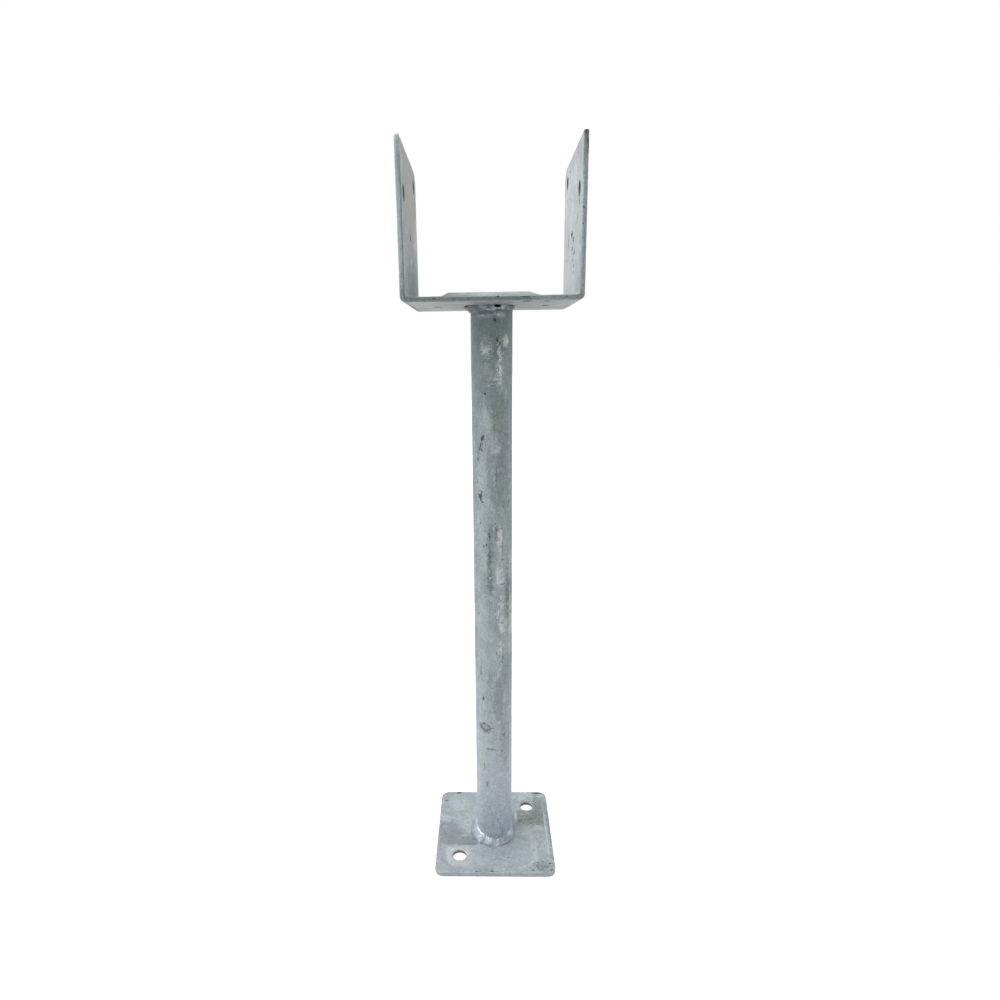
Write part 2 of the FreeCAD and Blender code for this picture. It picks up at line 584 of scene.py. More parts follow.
@dataclass(frozen=True)
class Zinc:
    """Hot-dip galvanised steel: a dull metal with clouded grey-blue patches.

    A thick zinc-iron layer freezes in soft-edged clouds of unlike greys, crossed
    by tide lines where the zinc drained, with fine grain and specks of dross.

    Attributes:
        name: The material's name.
        low: Darkest cloud, as sRGB hex.
        middle: Middle cloud.
        high: Lightest cloud.
        green: Tint of the weathered clouds.
        violet: Tint of the fresh clouds.
        edge: Colour of sheared and drilled edges.
        cloud: Width of the clouds, in mm.
        stretch: How many times longer than wide the clouds run along Z.
        roughness: Roughness of its smoothest and dullest patches.
        metallic: Share of bare metal in the skin.
        relief: How deep its mottle and grain are, as a share of those of a plate.
        frost: How strongly its bright crystals show.
        crisp: Contrast of its grain, as a share of that of a plate.
        stains_and_painted_light: Tinted areas: stains, painted shade and painted highlights.
    """

    name: str
    low: str = "7d898c"
    middle: str = "99a5a7"
    high: str = "b3bcbe"
    green: str = "93a39f"
    violet: str = "9a9da8"
    edge: str = "7f8a8d"
    cloud: float = 22.0
    stretch: float = 1.0
    roughness: tuple[float, float] = (0.40, 0.62)
    metallic: float = 0.55
    relief: float = 1.0
    frost: float = 0.30
    crisp: float = 1.0
    stains_and_painted_light: tuple[ColourPatch, ...] = ()

    # Width in mm, detail and roughness of the noises: the mottle of frozen zinc,
    # its grain, drawn coarser than the real one so that it shows, and the slow
    # wander of stains.
    NOISES = ((4.5, 5.0, 0.62), (1.5, 3.0, 0.7), (9.0, 4.0, 0.5))
    # Level of the clouds, strength and colour of each tide line.
    TIDES = ((0.455, 0.30, Tone.DEEP), (0.56, 0.32, Tone.BRIGHT))
    # Width and travel of the noise that bends the patches out of their ovals, in mm.
    BEND_MM = 5.0
    BEND_BY_MM = 7.0
    # Cells of the dross specks and of the bright crystals, in mm.
    SPECK_MM = 9.0
    CRYSTAL_MM = 2.1

    def material(self) -> bpy.types.Material:
        """Build the finish, or return it if it is already built.

        Returns:
            The material.
        """
        known = bpy.data.materials.get(self.name)
        if known:
            return known
        made = bpy.data.materials.new(self.name)
        tree = bare_tree(made)
        where = add_node(tree, "TexCoord", output="Object")
        mottle, grain, wander = (add_node(tree, "TexNoise", {
            "Vector": where, "Scale": per_mm(size), "Detail": detail, "Roughness": roughness})
            for size, detail, roughness in self.NOISES)
        # Painted shade in the creases on the lumps, where the mottle is low.
        lump = add_node(tree, "Attribute", output="Fac", attribute_name="lump")
        hollow = add_node(tree, "MapRange", {
            "Value": mottle, "From Min": 0.47, "From Max": 0.38, "To Max": 0.55})
        crease_shade = add_node(tree, "Math", {0: lump, 1: hollow}, operation="MULTIPLY")
        # Tiny bright crystals, which crowd where the wander is high, and larger dark specks.
        crowd = add_node(tree, "MapRange", {
            "Value": wander, "From Min": 0.46, "From Max": 0.60, "To Min": 0.2})
        dots = self._dots(tree, where, self.CRYSTAL_MM, "Blue", (0.45, 0.26, 0.08, self.frost))
        crystals = add_node(tree, "Math", {0: dots, 1: crowd}, operation="MULTIPLY")
        specks = self._dots(tree, where, self.SPECK_MM, "Green", (0.5, 0.075, 0.02, 0.75))
        shade = self._cut_edges(tree, self._clouds(tree, where), mottle)
        shade = self._patched(tree, shade, where, wander, grain)
        shade = self._fine_tone(tree, shade, mottle, grain)
        for part, tone in ((crease_shade, Tone.DEEP), (crystals, Tone.BRIGHT), (specks, Tone.DROSS)):
            shade = add_node(tree, "Mix", {0: part, 6: shade, 7: colour(tone.value)}, 2, data_type="RGBA")
        # Duller where the mottle is high, and glossier on the lumps.
        rough = add_node(tree, "MapRange", {
            "Value": mottle, "From Min": 0.3, "From Max": 0.7,
            "To Min": self.roughness[0], "To Max": self.roughness[1]})
        glossier = add_node(tree, "Math", {0: lump, 1: -0.22, 2: rough}, operation="MULTIPLY_ADD")
        shader = add_node(tree, "BsdfPrincipled", {
            "Base Color": shade, "Roughness": glossier, "Metallic": self.metallic,
            "Normal": self._relief(tree, mottle, grain, specks, lump)})
        add_node(tree, "OutputMaterial", {"Surface": shader})
        return made

    def _clouds(self, tree: Tree, where: Socket) -> Socket:
        """Return the colour of the frozen clouds: three greys, two tints and tide lines.

        Args:
            tree: The node tree.
            where: Coordinates on the piece.

        Returns:
            The colour.
        """
        drawn = add_node(tree, "Mapping", {"Vector": where, "Scale": (1.0, 1.0, 1.0 / self.stretch)})
        clouds = add_node(tree, "TexNoise", {
            "Vector": drawn, "Scale": per_mm(self.cloud), "Detail": 6.0, "Roughness": 0.6,
            "Distortion": 0.9})
        shade = add_node(tree, "ValToRGB", {"Fac": clouds})
        stops = shade.node.color_ramp.elements
        for stop, place, code in ((stops[0], 0.36, self.low), (stops[1], 0.66, self.high)):
            stop.position = place
            stop.color = colour(code)
        for place in (0.49, 0.53):
            stops.new(place).color = colour(self.middle)
        for code, shift in ((self.green, 0.13), (self.violet, 0.41)):
            moved = add_node(tree, "Mapping", {"Vector": drawn, "Location": (shift, shift, shift)})
            tint = add_node(tree, "TexNoise", {
                "Vector": moved, "Scale": per_mm(self.cloud * 1.4), "Detail": 4.0, "Distortion": 0.5})
            part = add_node(tree, "MapRange", {
                "Value": tint, "From Min": 0.52, "From Max": 0.60, "To Max": 0.5})
            shade = add_node(tree, "Mix", {0: part, 6: shade, 7: colour(code)}, 2, data_type="RGBA")
        for level, strength, tone in self.TIDES:
            away = add_node(tree, "Math", {0: clouds, 1: level}, operation="SUBTRACT")
            span = add_node(tree, "Math", {0: away}, operation="ABSOLUTE")
            line = add_node(tree, "MapRange", {
                "Value": span, "From Min": 0.010, "From Max": 0.003, "To Max": strength})
            shade = add_node(tree, "Mix", {0: line, 6: shade, 7: colour(tone.value)}, 2, data_type="RGBA")
        return shade

    def _cut_edges(self, tree: Tree, shade: Socket, mottle: Socket) -> Socket:
        """Return the colour with the painted cut edges mixed in, broken up by the mottle."""
        painted = add_node(tree, "Attribute", output="Fac", attribute_name="cut_edge")
        broken = add_node(tree, "Math", {0: mottle, 1: 0.5}, operation="ADD")
        part = add_node(tree, "Math", {0: painted, 1: broken}, operation="MULTIPLY", use_clamp=True)
        return add_node(tree, "Mix", {0: part, 6: shade, 7: colour(self.edge)}, 2, data_type="RGBA")

    def _patched(self, tree: Tree, shade: Socket, where: Socket, wander: Socket, grain: Socket) -> Socket:
        """Return the colour with the stains and painted light mixed in, their outlines bent and made ragged
        by noises.

        Args:
            tree: The node tree.
            shade: The colour below.
            where: Coordinates on the piece.
            wander: Slow noise for coarse outlines.
            grain: Fast noise for fine outlines.

        Returns:
            The colour.
        """
        bend = add_node(tree, "TexNoise", {
            "Vector": where, "Scale": per_mm(self.BEND_MM), "Detail": 2.0}, "Color")
        centred = add_node(tree, "VectorMath", {0: bend, 1: (-0.5, -0.5, -0.5)}, operation="ADD")
        bent = add_node(tree, "VectorMath", {0: centred, 1: (self.BEND_BY_MM * MM,) * 3, 2: where},
                        operation="MULTIPLY_ADD")
        for patch in self.stains_and_painted_light:
            mark = patch.mark
            centre = tuple(part * MM for part in mark.place)
            spread = tuple(1.0 / (part * MM) for part in mark.reach)
            offset = add_node(tree, "VectorMath", {0: bent if patch.bent else where, 1: centre},
                              operation="SUBTRACT")
            shaped = add_node(tree, "VectorMath", {0: offset, 1: spread}, operation="MULTIPLY")
            distance = add_node(tree, "VectorMath", {0: shaped}, "Value", operation="LENGTH")
            wavy = add_node(tree, "Math", {
                0: grain if patch.fine else wander, 1: patch.ragged * 4, 2: distance},
                operation="MULTIPLY_ADD")
            outline = 1.0 + patch.ragged * 2
            part = add_node(tree, "MapRange", {
                "Value": wavy, "From Min": outline, "From Max": outline - mark.soft,
                "To Max": mark.strength}, interpolation_type="SMOOTHSTEP")
            shade = add_node(tree, "Mix", {0: part, 6: shade, 7: colour(patch.tone)}, 2,
                             data_type="RGBA")
        return shade

    def _fine_tone(self, tree: Tree, shade: Socket, mottle: Socket, grain: Socket) -> Socket:
        """Return the colour with mottle and grain as small changes of brightness."""
        level: Socket | float = 1.0
        # How much of each noise's swing about its middle goes into the brightness.
        for source, weight in ((mottle, 0.75), (grain, 0.65 * self.crisp)):
            swing = add_node(tree, "Math", {0: source, 1: -0.5}, operation="ADD")
            level = add_node(tree, "Math", {0: swing, 1: weight, 2: level}, operation="MULTIPLY_ADD")
        return add_node(tree, "VectorMath", {0: shade, "Scale": level}, operation="SCALE")

    def _dots(self, tree: Tree, where: Socket, size: float, lot: str,
              shape: tuple[float, float, float, float]) -> Socket:
        """Return where small dots lie, in a few of the cells of a pattern.

        Args:
            tree: The node tree.
            where: Coordinates on the piece.
            size: Width of a cell, in mm.
            lot: Colour channel of the cells that draws lots for the dots.
            shape: Lot above which a cell has a dot, radius of the biggest dot and
                width of its soft rim as shares of a cell, and the dots' strength.

        Returns:
            How strongly each place lies in a dot.
        """
        least, radius, rim, strength = shape
        cells = add_node(tree, "TexVoronoi", {"Vector": where, "Scale": per_mm(size), "Randomness": 1.0})
        drawn = add_node(tree, "SeparateColor", {"Color": cells.node.outputs["Color"]}, lot)
        reach = add_node(tree, "MapRange", {"Value": drawn, "From Min": least, "To Max": radius})
        inside = add_node(tree, "Math", {0: reach, 1: cells}, operation="SUBTRACT")
        return add_node(tree, "MapRange", {"Value": inside, "From Max": rim, "To Max": strength})

    def _relief(self, tree: Tree, mottle: Socket, grain: Socket, specks: Socket, lump: Socket) -> Socket:
        """Return the normal with mottle, grain and wrinkled lumps raised and the specks sunk.

        Args:
            tree: The node tree.
            mottle: Broad noise.
            grain: Fine noise.
            specks: Where the dross specks lie.
            lump: Where lumps of zinc are painted on the mesh.

        Returns:
            The normal.
        """
        wrinkle = add_node(tree, "Math", {0: mottle, 1: lump}, operation="MULTIPLY")
        normal: Socket | None = None
        # What is raised, by how many mm on a plate, and whether it is sunk instead.
        for height, depth_mm, flip in ((mottle, 0.45, False), (grain, 0.22, False), (wrinkle, 4.5, False),
                                       (specks, 0.25, True)):
            links: dict[int | str, object] = {
                "Height": height, "Distance": depth_mm * self.relief * MM, "Strength": 1.0}
            if normal is not None:
                links["Normal"] = normal
            normal = add_node(tree, "Bump", links, invert=flip)
        return normal


# ------------------------------------------------------------------- pieces


@dataclass
class OnNode:
    """A piece that is modelled at the size of one of the solids.

    Attributes:
        node: The solid that it stands for.
        low: The solid's lowest corner, in mm.
        high: The solid's highest corner, in mm.
    """

    node: str
    low: Vector = field(init=False)
    high: Vector = field(init=False)

    def __post_init__(self) -> None:
        """Read the solid's corners."""
        self.low, self.high = box_mm(self.node)

    @property
    def name(self) -> str:
        """Return the piece's name."""
        return f"{self.node}_zinc"


@dataclass
class FootPlate(OnNode):
    """Square foot plate with two anchor holes on one diagonal and a drain hole.

    Attributes:
        corner: Radius of its corners, in mm.
        anchor_hole: Diameter of the anchor holes, in mm.
        anchor_edge: Distance of their centres from the plate's sides, in mm.
        drain_hole: Diameter of the hole under the stem, in mm.
        voxel: Size of its mesh, in mm.
    """

    node: str = "foot_plate"
    corner: float = 8.0
    anchor_hole: float = 12.0
    anchor_edge: float = 22.0
    drain_hole: float = 14.0
    voxel: float = 0.7

    # Width of the rough band along the right side, and place of the rough spot
    # from the front right corner with its reach, in mm.
    BAND_MM = 4.0
    CORNER_MM = ((-6, 8, 0), (16, 12, 6))

    def build(self) -> Piece:
        """Model the plate.

        Returns:
            The finished mesh object.
        """
        plate = slab(self.name, self.low, self.high)
        round_edges(plate, along(UP), self.corner)
        reach = self.high.x - self.anchor_edge
        thickness = self.high.z - self.low.z
        for x, y, diameter in ((-reach, -reach, self.anchor_hole), (reach, reach, self.anchor_hole),
                               (0, 0, self.drain_hole)):
            drill(plate, Vector((x, y, thickness / 2)), UP, diameter, 3 * thickness)
        bathe(plate, self.voxel)
        Grain(0.22, 14.0).roughen(plate)
        Grain(0.10, 3.0).roughen(plate)
        rim = weigh(plate, "rim", self.rim)
        Grain(0.5, 2.6, hard=True).roughen(plate, rim)
        paint(plate, "cut_edge", lambda places, normals: 1.6 - 2.2 * np.abs(normals[:, 2]))
        return plate

    def rim(self, places: np.ndarray, normals: np.ndarray) -> np.ndarray:
        """Weight of the rough band along the right side and the front right corner."""
        right = np.clip((places[:, 0] - self.high.x) / self.BAND_MM + 1, 0, 1)
        offset, reach = self.CORNER_MM
        place = (self.high.x + offset[0], self.low.y + offset[1], self.high.z)
        return np.clip(right * 0.8 + Mark(place, reach).amount(places) * 0.6, 0, 1)


@dataclass
class StemTube(OnNode):
    """Tube stem with the vent slot at its top and the runs and lumps of its zinc.

    Attributes:
        wall: Thickness of the tube's wall, in mm.
        steps: Faces round the tube.
        mounds: Broad swellings of the zinc.
        troughs: Grooves beside them.
        lumps: Rough raised zinc.
        pits: Sunk spots.
    """

    node: str = "stem_tube"
    wall: float = 3.2
    steps: int = 176
    mounds: tuple[Mark, ...] = tube_marks(
        (4.5, 270, 9, 55), (7.0, 236, 6, 22), (6.6, 450, 3.6, 20), (10.9, 467.5, 3.4, 6))
    troughs: tuple[Mark, ...] = tube_marks(
        (-2.6, 278, 3.0, 42), (4.5, 463, 1.5, 8), (12.0, 255, 2.0, 40))
    lumps: tuple[Mark, ...] = tube_marks(
        (6.9, 303, 2.8, 18), (6.2, 273, 4.0, 11), (6.7, 249.5, 2.8, 7), (3.6, 234, 3.2, 5),
        (7.4, 228, 4.4, 7), (7.0, 200, 3.0, 14), (6.2, 451, 2.4, 16), (-4.6, 462, 5.0, 6),
        (1.0, 434, 6.0, 2.4), (2.8, 380, 4.0, 4.0), (14.8, 280, 2.4, 12), (14.6, 236, 2.6, 22),
        (-4.0, 487, 9.0, 3.0, 0.5), (7.0, 488, 6.0, 3.6, 0.6))
    pits: tuple[Mark, ...] = tube_marks(
        (3.0, 483, 1.7, 1.9), (4.6, 467.6, 1.8, 2.6), (-4.5, 426.2, 1.2, 1.4), (-9.8, 340, 3.0, 5.0),
        (-8.8, 124.3, 5.5, 4.0, 0.7), (-9.9, 153.6, 1.2, 3.0))

    def build(self) -> Piece:
        """Model the tube.

        Returns:
            The finished mesh object.
        """
        tube = self._spun()
        Grain(0.35, 30.0, level=0.5).roughen(tube)
        Grain(0.12, 5.0, level=0.5).roughen(tube)
        for name, marks, height in (("mound", self.mounds, 0.9), ("trough", self.troughs, -0.6),
                                    ("pit", self.pits, -0.9)):
            swell(tube, weigh(tube, name, self._on_skin(marks)), height)
        rough = weigh(tube, "lump", self._on_skin(self.lumps))
        paint(tube, "lump", self._on_skin(self.lumps))
        Grain(1.5, 3.4, level=0.35, depth=3).roughen(tube, rough)
        drill_vent(tube)
        return tube

    def _on_skin(self, marks: tuple[Mark, ...]) -> Field:
        """Return the field of some marks, kept off the bore."""
        shape = marks_field(marks)
        return lambda places, normals: shape(places, normals) * (
            np.hypot(places[:, 0], places[:, 1]) > STEM_RADIUS - self.wall / 2)

    def _spun(self) -> Piece:
        """Spin the wall's section round the stem's axis.

        Returns:
            The plain tube, finely meshed on its outside.
        """
        deselect()
        length = self.high.z - self.low.z
        middle = Vector((STEM_RADIUS - self.wall / 2, 0, self.low.z + length / 2))
        bpy.ops.mesh.primitive_plane_add(size=1, location=middle * MM, rotation=(math.pi / 2, 0, 0))
        tube = start_piece(self.name, (self.wall * MM, length * MM, 1))
        with editing(tube):
            pick(tube, "EDGE", lambda place, course: place.x > (STEM_RADIUS - self.wall / 4) * MM)
            bpy.ops.mesh.subdivide(number_cuts=20)
            bpy.ops.mesh.subdivide(number_cuts=20)
            bpy.ops.mesh.select_all(action="SELECT")
            bpy.ops.mesh.delete(type="ONLY_FACE")
            bpy.ops.mesh.select_all(action="SELECT")
            bpy.ops.mesh.spin(steps=self.steps, angle=2 * math.pi, center=(0, 0, 0), axis=UP)
            bpy.ops.mesh.select_all(action="SELECT")
            bpy.ops.mesh.remove_doubles(threshold=0.01 * MM)
            bpy.ops.mesh.normals_make_consistent(inside=False)
        return tube


def drill_vent(piece: Piece, width: float = 5.4, height: float = 1.8, angle: float = 14.0) -> None:
    """Cut the vent slot at the top of the stem through a piece.

    Args:
        piece: The mesh object.
        width: The slot's width, in mm.
        height: The slot's height, in mm.
        angle: Its turn from the front towards +X, in degrees.
    """
    top = box_mm("stem_tube")[1].z
    cutter = slab("vent", Vector((-width / 2, -STEM_RADIUS - 8, top - height)),
                  Vector((width / 2, -STEM_RADIUS + 6, top + 0.6)))
    with editing(cutter):
        bpy.ops.mesh.select_all(action="SELECT")
        bpy.ops.transform.rotate(value=math.radians(-angle), orient_axis="Z", center_override=(0, 0, 0))
    cut_away(piece, cutter)


@dataclass
class Saddle(OnNode):
    """Saddle folded from one strip: a floor, two walls and their holes.

    Attributes:
        thickness: Thickness of the strip, in mm.
        bend: Inside radius of its bends, in mm.
        front_corner: Radius of the walls' top front corners, in mm.
        rear_corner: Radius of the walls' top rear corners, in mm.
        bolt_hole: Diameter of the bolt holes, in mm.
        bolt_edge: Distance of the bolt holes from the front and rear edges, in mm.
        front_bolt_drop: Depth of the front bolt holes below the top, in mm.
        rear_bolt_drop: Depth of the rear bolt holes below the top, in mm.
        screw_hole: Diameter of the screw holes, in mm.
        screw_drop: Depth of the walls' screw holes below the top, in mm.
        screw_inset: Distance of the floor's screw holes from the walls, in mm.
        voxel: Size of its mesh, in mm.
    """

    node: str = "saddle"
    thickness: float = 4.0
    bend: float = 2.5
    front_corner: float = 0.6
    rear_corner: float = 11.0
    bolt_hole: float = 10.0
    bolt_edge: float = 17.0
    front_bolt_drop: float = 34.0
    rear_bolt_drop: float = 14.0
    screw_hole: float = 5.5
    screw_drop: float = 59.0
    screw_inset: float = 20.0
    voxel: float = 0.95

    def build(self) -> Piece:
        """Model the saddle.

        Returns:
            The finished mesh object.
        """
        strip = self._folded()
        self._drilled(strip)
        bathe(strip, self.voxel, softness=1)
        Grain(0.16, 18.0, level=0.9).roughen(strip)
        Grain(0.12, 3.5, level=0.9).roughen(strip)
        edges = weigh(strip, "edges", self.cut_edges)
        Grain(0.34, 2.0, level=0.7).roughen(strip, edges)
        paint(strip, "cut_edge", self.cut_edges)
        return strip

    def _folded(self) -> Piece:
        """Fold the strip: raise both walls from the floor and round the bends and corners.

        Returns:
            The plain strip.
        """
        inner = (self.high.x - self.thickness) * MM
        floor_top = self.low.z + self.thickness
        strip = slab(self.name, self.low, Vector((self.high.x, self.high.y, floor_top)))
        with editing(strip):
            for side in (-1, 1):
                bpy.ops.mesh.select_all(action="SELECT")
                bpy.ops.mesh.bisect(plane_co=(side * inner, 0, 0), plane_no=TO_RIGHT)
            pick(strip, "FACE", lambda place, normal: abs(place.x) > inner and normal.z > FACING)
            bpy.ops.mesh.extrude_region_move(
                TRANSFORM_OT_translate={"value": (0, 0, (self.high.z - floor_top) * MM)})
        lengthwise, crosswise = along(TO_REAR), along(TO_RIGHT)
        tiny = 0.01 * MM

        def level(place: Vector, height: float) -> bool:
            """Whether a place lies at a height in mm."""
            return abs(place.z - height * MM) < tiny

        corners = (
            (lengthwise, lambda place: abs(abs(place.x) - inner) < tiny and level(place, floor_top),
             self.bend),
            (lengthwise, lambda place: abs(abs(place.x) - self.high.x * MM) < tiny
             and level(place, self.low.z), self.bend + self.thickness),
            (crosswise, lambda place: level(place, self.high.z) and place.y < 0, self.front_corner),
            (crosswise, lambda place: level(place, self.high.z) and place.y > 0, self.rear_corner),
        )
        for course, near, radius in corners:
            round_edges(strip, lambda place, way: course(place, way) and near(place), radius)
        return strip

    def _drilled(self, strip: Piece) -> None:
        """Drill the walls' bolt and screw holes and the floor's screw holes."""
        bolt_y = self.high.y - self.bolt_edge
        wall_holes = ((-bolt_y, self.front_bolt_drop, self.bolt_hole),
                      (bolt_y, self.rear_bolt_drop, self.bolt_hole), (0.0, self.screw_drop, self.screw_hole))
        reach = 3 * self.thickness
        for side in (-1, 1):
            wall_x = side * (self.high.x - self.thickness / 2)
            for y, drop, diameter in wall_holes:
                drill(strip, Vector((wall_x, y, self.high.z - drop)), TO_RIGHT, diameter, reach)
            floor_x = side * (self.high.x - self.thickness - self.screw_inset)
            drill(strip, Vector((floor_x, 0, self.low.z + self.thickness / 2)), UP, self.screw_hole, reach)

    def cut_edges(self, places: np.ndarray, normals: np.ndarray) -> np.ndarray:
        """Weight of the strip's cut edges: front, rear and the tops of the walls."""
        ends = 2.2 * np.abs(normals[:, 1]) - 0.8
        tops = np.clip((places[:, 2] - self.high.z + 2.5) / 2, 0, 1)
        return np.clip(np.maximum(ends, tops), 0, 1)


@dataclass
class SeatPad:
    """Low pad on the saddle floor and the bead that runs round it.

    Attributes:
        corner: Radius of the pad's corners, in mm.
        lap: How far the bead laps over the pad's rim, in mm.
        shoulder: Height of the bead's steep toe, as a share of its height.
        sink: How far the bead's foot is sunk into the saddle floor, in mm.
        voxel: Size of the mesh, in mm.
    """

    corner: float = 6.0
    lap: float = 1.5
    shoulder: float = 0.30
    sink: float = 0.8
    voxel: float = 0.6

    def build_pad(self) -> Piece:
        """Model the flat pad.

        Returns:
            The finished mesh object.
        """
        pad = slab("seat_pad_zinc", *box_mm("seat_pad"))
        round_edges(pad, along(UP), self.corner)
        bathe(pad, self.voxel, softness=1)
        Grain(0.15, 9.0).roughen(pad)
        return pad

    def build_bead(self) -> Piece:
        """Model the bead: a slab whose top is drawn in to the pad's outline and laps over its rim.

        Returns:
            The finished mesh object.
        """
        low, high = box_mm("seat_pad_weld")
        shoulder = low.z + self.shoulder * (high.z - low.z)
        bead = slab("seat_pad_weld_zinc", low - UP * self.sink, Vector((high.x, high.y, shoulder)))
        round_edges(bead, along(UP), self.corner + 5.0)
        inner_low, inner_high = box_mm("seat_pad")
        shift = (inner_low + inner_high - low - high) / 2
        size = inner_high - inner_low
        with editing(bead):
            pick(bead, "FACE", lambda place, normal: normal.z > FACING)
            bpy.ops.mesh.extrude_region_move(TRANSFORM_OT_translate={
                "value": (shift.x * MM, shift.y * MM, (high.z - shoulder) * MM)})
            bpy.ops.transform.resize(value=(size.x / (high.x - low.x), size.y / (high.y - low.y), 1))
        lap = Vector((self.lap, self.lap, -5.0))
        opening = slab("pad_space", inner_low + lap, inner_high - lap)
        round_edges(opening, along(UP), self.corner - self.lap)
        cut_away(bead, opening)
        bathe(bead, self.voxel, softness=2)
        Grain(0.45, 3.0, level=0.85).roughen(bead)
        return bead


@dataclass(frozen=True)
class WeldPass:
    """One run of the welder's torch round the stem.

    Attributes:
        start: Angle where it starts, in degrees from the front towards +X.
        end: Angle where it ends.
        climb: Height of the bead along the run, as shares of its full height at even steps.
        spread: Width of the bead along the run, as shares of its full width.
    """

    start: float
    end: float
    climb: tuple[float, ...] = (1.0,)
    spread: tuple[float, ...] = (1.0,)

    def at(self, share: float) -> tuple[float, float, float]:
        """Return the angle, height share and width share at a point of the run.

        Args:
            share: How far along the run, from 0 to 1.

        Returns:
            The angle in radians from +X, the height share and the width share.
        """
        angle = math.radians(self.start + (self.end - self.start) * share - 90)
        return (angle, *(float(np.interp(share, np.linspace(0, 1, len(steps)), steps))
                         for steps in (self.climb, self.spread)))


@dataclass
class RoundBead(OnNode):
    """Fillet bead round the stem, laid as overlapping ripples.

    Attributes:
        side: 1 where it climbs the tube from a plate, -1 where it hangs from one.
        passes: The runs that it was laid in.
        lean: How far the bead's toe is off the stem's axis along X and Y, in mm.
        tilt: How steeply its far end rises towards the rear and towards the left, in degrees.
        pitch: Distance between ripples, in mm.
        crown: Half the thickness of a ripple, in mm.
        lump: How much the ripples vary in size, as a share.
        softness: Passes of smoothing.
        grain: Roughness of its skin.
        voxel: Size of its mesh, in mm.
        seed: Seed of the variation.
        vented: Whether the stem's vent slot goes through it.
    """

    side: int
    passes: tuple[WeldPass, ...]
    lean: tuple[float, float] = (0.0, 0.0)
    tilt: tuple[float, float] = (0.0, 0.0)
    pitch: float = 3.0
    crown: float = 0.9
    lump: float = 0.08
    softness: int = 5
    grain: Grain = Grain(0.16, 2.8, level=0.5)
    voxel: float = 0.42
    seed: int = 7
    vented: bool = False

    # How far the core is sunk into the plate.
    SINK_MM = 0.6
    # How deep the middle of a ripple lies below the fillet's slope, as a share of its
    # crown, its length as a share of the slope's and its half width as one of the pitch.
    BURIED = 0.45
    OVERLAP = 1.04
    WIDTH = 1.7

    def build(self) -> Piece:
        """Model the bead.

        Returns:
            The finished mesh object.
        """
        out = self.high.x - STEM_RADIUS
        up = self.high.z - self.low.z
        level = self.low.z if self.side > 0 else self.high.z
        random = np.random.default_rng(self.seed)
        ripples = [self._core(out, up, level)]
        for run in self.passes:
            ripples += self._ripples(run, out, up, level, random)
        bead = join(ripples)
        bead.name = self.name
        bead.data.name = self.name
        finish_with(bead, "REMESH", mode="VOXEL", voxel_size=self.voxel * MM)
        self._trim(bead, level, up)
        finish_with(bead, "SMOOTH", factor=0.5, iterations=self.softness)
        self.grain.roughen(bead)
        return bead

    def _core(self, out: float, up: float, level: float) -> Piece:
        """Model the plain fillet under the ripples: a steep cone on a flat skirt, off centre at its toe.

        Args:
            out: Reach of the bead along the plate, in mm.
            up: Reach of the bead along the tube, in mm.
            level: Height of the plate's face, in mm.

        Returns:
            The fillet.
        """
        cones = []
        # Reach of the toe as a share of the bead's, reach of the top in mm and height in mm.
        for toe, top, rise in ((0.80, -0.2, 0.86 * up), (1.0, 0.45 * out, 0.25 * up)):
            deselect()
            depth = rise + 2 * self.SINK_MM
            bpy.ops.mesh.primitive_cone_add(
                vertices=CORE_FACES, radius1=(STEM_RADIUS + out * toe) * MM,
                radius2=(STEM_RADIUS + top) * MM, depth=depth * MM,
                location=(0, 0, (level + self.side * (depth / 2 - 2 * self.SINK_MM)) * MM),
                rotation=(0 if self.side > 0 else math.pi, 0, 0))
            cone = start_piece("core")
            with editing(cone):
                pick(cone, "FACE", lambda place, normal: normal.z * self.side < -FACING)
                bpy.ops.transform.translate(value=(self.lean[0] * MM, self.lean[1] * MM, 0))
                pick(cone, "FACE", lambda place, normal: normal.z * self.side > FACING)
                for axis, angle in zip("XY", self.tilt):
                    bpy.ops.transform.rotate(value=-math.radians(angle), orient_axis=axis,
                                             center_override=(0, 0, (level + self.side * rise) * MM))
            cones.append(cone)
        return join(cones)

    def _ripples(self, run: WeldPass, out: float, up: float, level: float,
                 random: np.random.Generator) -> list[Piece]:
        """Lay one run of ripples: flattened balls along the fillet's slope, each over the last.

        Args:
            run: The run to lay.
            out: Reach of the bead along the plate, in mm.
            up: Reach of the bead along the tube, in mm.
            level: Height of the plate's face, in mm.
            random: Source of the variation.

        Returns:
            The ripples.
        """
        count = max(2, round(abs(math.radians(run.end - run.start)) * (STEM_RADIUS + out / 2) / self.pitch))
        laid = []
        for index in range(count + 1):
            angle, climb, spread = run.at(index / count)
            size = 1 + self.lump * (random.random() - 0.5)
            rise, reach = up * climb * size, out * spread * size
            slope = math.atan2(rise, reach)
            radius = STEM_RADIUS + reach / 2 - self.crown * self.BURIED * math.sin(slope)
            middle = rise / 2 - self.crown * self.BURIED * math.cos(slope)
            place = Vector((radius * math.cos(angle), radius * math.sin(angle), level + self.side * middle))
            turn = Matrix.Rotation(angle, 3, "Z") @ Matrix.Rotation(self.side * slope, 3, "Y")
            deselect()
            bpy.ops.mesh.primitive_uv_sphere_add(
                segments=BALL_FACES[0], ring_count=BALL_FACES[1], radius=MM, location=place * MM,
                rotation=turn.to_euler())
            half = math.hypot(rise, reach) / 2 * self.OVERLAP
            laid.append(start_piece("ripple", (half, self.pitch * self.WIDTH, self.crown * size)))
        return laid

    def _trim(self, bead: Piece, level: float, up: float) -> None:
        """Cut off what lies deep inside the plate and the tube."""
        half, deep, into_tube = 40, 20.0, 0.8
        faces = sorted((level - self.side * self.SINK_MM, level - self.side * deep))
        cut_away(bead, slab("plate_space", Vector((-half, -half, faces[0])), Vector((half, half, faces[1]))))
        drill(bead, UP * level, UP, 2 * (STEM_RADIUS - into_tube), 8 * up)
        if self.vented:
            drill_vent(bead)


